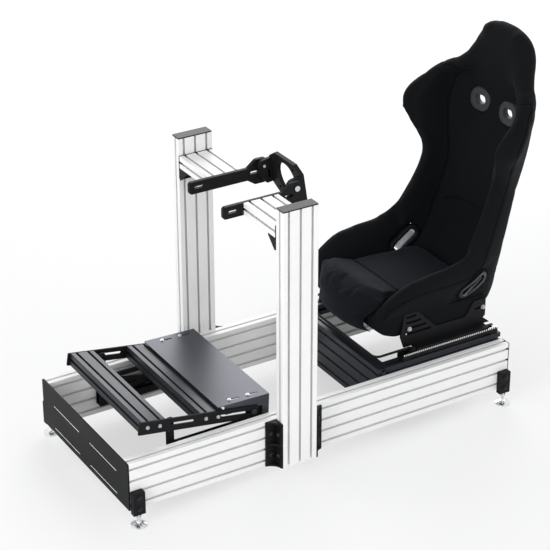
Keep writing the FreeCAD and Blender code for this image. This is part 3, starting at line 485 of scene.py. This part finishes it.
def padded_cover(node, name, finish, grain, rounds, hem, crown, wing, tuck, limit):
    """A padded cover over a solid: skin, rounding, tuck, then cloth blown up by no more than a limit.
    Below the hem, above the crown and outside the wing the foam is rounder; the last two are fuller too."""
    cover = add_piece(merged(node), name, finish, "seat")
    skin = cover.modifiers.new("skin", "REMESH")
    skin.mode = "VOXEL"
    skin.voxel_size = grain
    bake(cover)
    mesh = bmesh.new()
    mesh.from_mesh(cover.data)
    ends = [vertex for vertex in mesh.verts
            if vertex.co.z < hem or vertex.co.z > crown or abs(vertex.co.x) > wing]
    for soft, count in ((mesh.verts, rounds), (ends, 4 * rounds)):
        for _ in range(count):
            bmesh.ops.smooth_vert(mesh, verts=soft, factor=0.5, use_axis_x=True, use_axis_y=True,
                                  use_axis_z=True)
    mesh.normal_update()
    for vertex in mesh.verts:
        over_crown = (vertex.co.z - crown) / crown_blend + crown_share
        over_wing = (abs(vertex.co.x) - wing) / wing_blend
        fuller = fullness * min(1.0, max(0.0, over_crown, over_wing))
        vertex.co += vertex.normal * (fuller - tuck)
    mesh.to_mesh(cover.data)
    mesh.free()
    start = [vertex.co.copy() for vertex in cover.data.vertices]
    cloth = cover.modifiers.new("foam", "CLOTH")
    cloth.settings.quality = 4
    cloth.settings.use_pressure = True
    cloth.settings.uniform_pressure_force = foam_pressure
    cloth.settings.effector_weights.gravity = 0.0
    cloth.collision_settings.use_collision = False
    cloth.point_cache.frame_start = 1
    cloth.point_cache.frame_end = blow_frames
    for moment in range(1, blow_frames + 1):
        bpy.context.scene.frame_set(moment)
    bake(cover)
    bpy.context.scene.frame_set(1)
    for vertex, spot in zip(cover.data.vertices, start):
        move = vertex.co - spot
        vertex.co = spot + move * min(1.0, limit / max(move.length, 1e-9))
    cover.modifiers.new("even_skin", "SUBSURF").levels = 1
    cover.modifiers["even_skin"].render_levels = 1
    bake(cover)
    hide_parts(node)
    return cover


def through(points):
    """Points every few millimetres on a smooth line through these, given in millimetres."""
    knots = [Vector(point) / 1000 for point in points]
    line = []
    for index in range(len(knots) - 1):
        here, after = knots[index], knots[index + 1]
        before, later = knots[max(index - 1, 0)], knots[min(index + 2, len(knots) - 1)]
        count = max(3, int((after - here).length / stitch))
        leave = here + (after - before) / 6
        arrive = after - (later - here) / 6
        line += interpolate_bezier(here, leave, arrive, after, count)
    return line


def sewn(cover, lines, width, depth):
    """Pulls a cover in along seams and marks how near each point is to one, for painted shade along them.
    """
    data = cover.data
    skin = BVHTree.FromPolygons([vertex.co for vertex in data.vertices],
                                [face.vertices for face in data.polygons])
    spots = [skin.find_nearest(spot)[0] for line in lines for spot in line]
    near = KDTree(len(spots))
    for index, spot in enumerate(spots):
        near.insert(spot, index)
    near.balance()
    mesh = bmesh.new()
    mesh.from_mesh(data)
    close = {vertex for vertex in mesh.verts if near.find(vertex.co)[2] < width * 1.6}
    bmesh.ops.subdivide_edges(mesh, edges=[line for line in mesh.edges if set(line.verts) <= close], cuts=1,
                              use_grid_fill=True)
    mesh.normal_update()
    # The mark is painted shade: it darkens the fabric along the seams, where shade falls in their sewn
    # grooves.
    shade_mark = mesh.verts.layers.float.new("seam_shade")
    for vertex in mesh.verts:
        share = max(0.0, 1.0 - (near.find(vertex.co)[2] / width) ** 2)
        vertex[shade_mark] = share
        vertex.co -= vertex.normal * depth * share * share
    mesh.to_mesh(data)
    mesh.free()
    data.shade_smooth()
    return skin


def fabric(name, dark, light, sheen):
    """Stretch fabric with a fine pile: two tones, a little sheen, and painted shade that darkens it along
    its seams.
    """
    finish, place = start_finish(name)
    pile = place.noise(900.0)
    cloud = place.noise(6.0, 4.0)
    seam_shade = place.node("Attribute", {"attribute_name": "seam_shade"}, {}, "Fac")
    tone = cloud.between(dark, light)
    # Painted shade: the colour is mixed towards near-black along the seams, for the shade in their grooves.
    shaded = {0: 0.6 * seam_shade, 6: tone, 7: (0.001, 0.001, 0.001, 1)}
    place.surface({
        "Base Color": seam_shade.node("Mix", {"data_type": "RGBA"}, shaded, 2),
        "Roughness": 0.72 + 0.18 * pile,
        "Specular IOR Level": 0.08,
        "Sheen Weight": sheen,
        "Sheen Roughness": 0.4,
        "Sheen Tint": (0.7, 0.8, 1.0, 1.0),
        "Normal": (pile + 0.6 * cloud).relief(0.0004),
    })
    return finish


knit = fabric("black_knit_fabric", (0.0030, 0.0033, 0.0040), (0.0056, 0.0062, 0.0075), 0.04)
shell = padded_cover("seat_shell", "seat_cover", knit, grain=0.0102, rounds=7, hem=0.0, crown=1.02,
                     wing=0.25, tuck=0.002, limit=0.007)
# Seams of the left half and of the low back, as points in millimetres in the frame
outer_edge = ((220, 149, 378), (231, 166, 415), (239, 271, 452), (241, 401, 454), (239, 503, 464),
              (236, 548, 555), (224, 606, 706), (253, 600, 797), (285, 596, 892), (262, 658, 979),
              (224, 681, 1002))
inner_edge = ((161, 401, 382), (159, 536, 410), (156, 600, 531), (146, 648, 696), (172, 664, 785),
              (200, 682, 883), (180, 707, 978), (150, 713, 1002))
wing_join = ((224, 681, 1002), (196, 645, 1003), (150, 713, 1002))
low_back = ((-118, 623, 560), (-66, 623, 582), (0, 623, 590), (66, 623, 582), (118, 623, 560))
lines = [through(low_back)]
for sign in (1, -1):
    for line in (outer_edge, inner_edge, wing_join):
        lines.append(through([(sign * x, y, z) for x, y, z in line]))
skin = sewn(shell, lines, width=0.0055, depth=0.0026)

# Side pads: the covered lower sides of the bucket, which the brackets are screwed to
pad_size = (0.010, 0.296, 0.100)
pad_middle = (199.5, 1195, 264)
pad_edge = 0.003
pads = bmesh.new()
for sign in (1, -1):
    pad = bmesh.ops.create_cube(pads, size=1.0)["verts"]
    bmesh.ops.scale(pads, verts=pad, vec=pad_size)
    bmesh.ops.translate(pads, verts=pad, vec=at(sign * pad_middle[0], *pad_middle[1:]))
bmesh.ops.bevel(pads, geom=pads.edges, offset=pad_edge, offset_type="OFFSET", affect="EDGES", segments=2,
                profile=0.5, material=-1)
add_piece(pads, "seat_side_pads", knit, "seat")

# Base cushion: loose, in suede, with a full front roll marked off by a crease
suede = fabric("black_suede", (0.0036, 0.0040, 0.0050), (0.0066, 0.0073, 0.0092), 0.08)
cushion = padded_cover("seat_cushion", "cushion_cover", suede, grain=0.0058, rounds=12, hem=0.366,
                       crown=2.0, wing=1.0, tuck=0.0, limit=0.010)
front_roll = ((-172, 258, 405), (-90, 262, 410), (0, 264, 412), (90, 262, 410), (172, 258, 405))
# The crease gets the same painted shade as the seams.
sewn(cushion, [through(front_roll)], width=0.009, depth=0.004)


# Belt openings
# The shoulder openings have moulded dark-grey plastic frames, the lap openings bare metal walls in black
# rims. They are pressed into the seat, with a raised, rounded lip on both faces.
shoulder_opening = (73, 1508, 858)
shoulder_long = 0.050
shoulder_wide = 0.030
shoulder_rim = 0.022
lap_opening = (185, 1282, 370)
lap_long = 0.092
lap_wide = 0.026
lap_rim = 0.014
lap_slope = math.radians(36)
lip_thick = 0.016
lip_sunk = 0.0045
lip_round = 0.003
bezel, place = start_finish("grey_plastic")
grain = place.noise(900.0, 1.0)
place.surface({
    "Base Color": grain.between((0.024, 0.025, 0.029), (0.040, 0.041, 0.046)),
    "Roughness": 0.42 + 0.12 * grain,
    "Specular IOR Level": 0.25,
    "Normal": grain.relief(0.00005),
})


def add_lip(mesh, centre, along, inward, long, wide, rim):
    """Adds a rounded lip round a belt opening, laid on the cover where lines of sight meet it."""
    across = inward.cross(along)
    sights = 16
    sight_length = 0.3
    clear = 1.8 * rim
    met = []
    for step in range(sights):
        turn = math.tau * step / sights
        start = (centre - inward * sight_length + along * math.cos(turn) * (long / 2 + clear)
                 + across * math.sin(turn) * (wide / 2 + clear))
        spot, normal = skin.ray_cast(start, inward)[:2]
        if spot and normal.dot(inward) < -0.5:
            met.append((spot, normal))
    level = sum((spot for spot, _ in met), Vector()) / len(met)
    facing = sum((normal for _, normal in met), Vector()).normalized()
    flat = (along - facing * along.dot(facing)).normalized()
    middle = centre + inward * (level - centre).dot(facing) / inward.dot(facing)
    oval = bmesh.ops.create_circle(mesh, cap_ends=True, segments=48, radius=wide / 2 + rim)["verts"]
    for vertex in oval:
        vertex.co.x += math.copysign((long - wide) / 2, vertex.co.x)
    hole = oval[0].link_faces[0]
    ring = bmesh.ops.inset_region(mesh, faces=[hole], thickness=rim, use_boundary=True,
                                  use_even_offset=True)["faces"]
    bmesh.ops.delete(mesh, geom=[hole], context="FACES_ONLY")
    thick = bmesh.ops.solidify(mesh, geom=ring, thickness=lip_thick)["geom"]
    lip = list({vertex for face in ring for vertex in face.verts}
               | {item for item in thick if isinstance(item, bmesh.types.BMVert)})
    lines = list({line for vertex in lip for line in vertex.link_edges
                  if line.is_manifold and line.calc_face_angle() > math.radians(50)})
    sunk = sum(vertex.co.z for vertex in lip) / len(lip) + lip_sunk
    bmesh.ops.translate(mesh, verts=lip, vec=(0, 0, -sunk))
    seat = Matrix((flat, facing.cross(flat), facing)).transposed().to_4x4()
    bmesh.ops.transform(mesh, matrix=Matrix.Translation(middle) @ seat, verts=lip)
    bmesh.ops.bevel(mesh, geom=lines, offset=lip_round, offset_type="OFFSET", affect="EDGES", segments=3,
                    profile=0.5, material=-1)


lips = bmesh.new()
lap_lips = bmesh.new()
slope = Vector((0, math.cos(lap_slope), math.sin(lap_slope)))
for sign in (1, -1):
    shoulder = at(sign * shoulder_opening[0], *shoulder_opening[1:])
    for inward in (Vector((0, 1, 0)), Vector((0, -1, 0))):
        add_lip(lips, shoulder, Vector((1, 0, 0)), inward, shoulder_long, shoulder_wide, shoulder_rim)
    lap = at(sign * lap_opening[0], *lap_opening[1:])
    for inward in (Vector((1, 0, 0)), Vector((-1, 0, 0))):
        add_lip(lap_lips, lap, slope, inward, lap_long, lap_wide, lap_rim)
add_piece(lips, "shoulder_lips", bezel, "seat")
add_piece(lap_lips, "lap_lips", black_coat, "seat")

# Lap walls: bare metal inside the opening, black on the rim and towards the outer face
bare_reach = 0.0142
bare_width = 0.216
middle = at(*lap_opening)
lined, place = start_finish("lap_liner")
across = place.node("SeparateXYZ", {}, {"Vector": place}, "X")
behind = place.node("SeparateXYZ", {}, {"Vector": place}, "Y") - middle.y
above = place.node("SeparateXYZ", {}, {"Vector": place}, "Z") - middle.z
along = behind * slope.y + above * slope.z
aside = above * slope.y - behind * slope.z
past_end = along.maths("MAXIMUM", (along * along) ** 0.5 - (lap_long - lap_wide) / 2, 0.0)
rim = along.maths("GREATER_THAN", past_end * past_end + aside * aside, bare_reach * bare_reach)
outer = across.maths("GREATER_THAN", across * across, bare_width * bare_width)
coated = across.maths("MAXIMUM", rim, outer)
bloom = place.noise(220.0, 4.0)
bare = bloom.between((0.50, 0.51, 0.53), (0.72, 0.73, 0.75))
two_tone = {0: coated, 6: bare, 7: (0.006, 0.006, 0.007, 1)}
place.surface({
    "Base Color": place.node("Mix", {"data_type": "RGBA"}, two_tone, 2),
    "Metallic": 1.0 - coated,
    "Roughness": 0.3 + 0.2 * bloom,
})
for opening, finish in (("shoulder", bezel), ("lap", lined)):
    for side in ("left", "right"):
        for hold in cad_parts["%s_%s_frame" % (side, opening)].material_slots:
            hold.material = finish


# Studio
# A pale floor and an even white room; a soft box behind the object is what its black upper faces reflect.
room_light = 0.72
floor_size = 30.0
floor_glow = 0.55
room = bpy.data.worlds.new("white_room")
room.use_nodes = True
room.node_tree.nodes.clear()
seen = room.node_tree.nodes.new("ShaderNodeLightPath")
camera_ray = Shade(room.node_tree, seen.outputs["Is Camera Ray"])
glossy_ray = Shade(room.node_tree, seen.outputs["Is Glossy Ray"])
passing_ray = Shade(room.node_tree, seen.outputs["Is Transmission Ray"])
shown = camera_ray.maths("MAXIMUM", camera_ray.maths("MAXIMUM", camera_ray, glossy_ray), passing_ray)
light = camera_ray.node("Background", {}, {
    "Color": (0.98, 0.99, 1.0, 1.0), "Strength": room_light + (1.0 - room_light) * shown})
camera_ray.node("OutputWorld", {}, {"Surface": light})
bpy.context.scene.world = room

floor_mesh = bmesh.new()
bmesh.ops.create_grid(floor_mesh, x_segments=1, y_segments=1, size=floor_size)
floor_data = bpy.data.meshes.new("floor")
floor_mesh.to_mesh(floor_data)
floor_mesh.free()
floor = bpy.data.objects.new("floor", floor_data)
bpy.context.scene.collection.objects.link(floor)
pale, place = start_finish("pale_floor")
floor_data.materials.append(pale)
matt = place.node("BsdfDiffuse", {}, {"Color": (0.84, 0.84, 0.84, 1.0)})
glow = place.node("Emission", {}, {"Color": (1.0, 1.0, 1.0, 1.0), "Strength": 1.0})
seen = place.node("LightPath", {}, {}, "Is Camera Ray")
blend = place.node("MixShader", {}, {0: floor_glow * seen, 1: matt, 2: glow})
place.node("OutputMaterial", {}, {"Surface": blend})

for name, spot, aim, size, power in (
        ("back_box", (-3.4, 2.1, 2.7), (0.0, 0.0, 0.4), 3.0, 105.0),
        ("front_box", (1.4, -4.6, 1.9), (0.0, 0.0, 0.5), 2.6, 108.0),
        ("side_box", (4.8, 0.4, 1.9), (0.0, 0.0, 0.5), 2.6, 58.0)):
    lamp = bpy.data.lights.new(name, "AREA")
    lamp.size = size
    lamp.energy = power
    box = bpy.data.objects.new(name, lamp)
    bpy.context.scene.collection.objects.link(box)
    box.location = spot
    box.rotation_euler = (Vector(aim) - Vector(spot)).to_track_quat("-Z", "Y").to_euler()
    box.visible_camera = False

azimuth = math.radians(58.89)
elevation = math.radians(27.36)
roll = math.radians(-0.14)
camera_place = (4.5118, -2.8333, 3.2497)
back = Vector((math.sin(azimuth) * math.cos(elevation), -math.cos(azimuth) * math.cos(elevation),
               math.sin(elevation)))
right = Vector((math.cos(azimuth), math.sin(azimuth), 0.0))
up = back.cross(right)
lens = bpy.data.cameras.new("photo_view")
lens.lens = 125.0
lens.sensor_width = 36.0
lens.clip_end = 60.0
view = bpy.data.objects.new("photo_view", lens)
bpy.context.scene.collection.objects.link(view)
turned_right = right * math.cos(roll) + up * math.sin(roll)
turned_up = up * math.cos(roll) - right * math.sin(roll)
view.matrix_world = Matrix.Translation(camera_place) @ Matrix(
    (turned_right, turned_up, back)).transposed().to_4x4()
scene = bpy.context.scene
scene.camera = view
scene.view_settings.view_transform = "Standard"
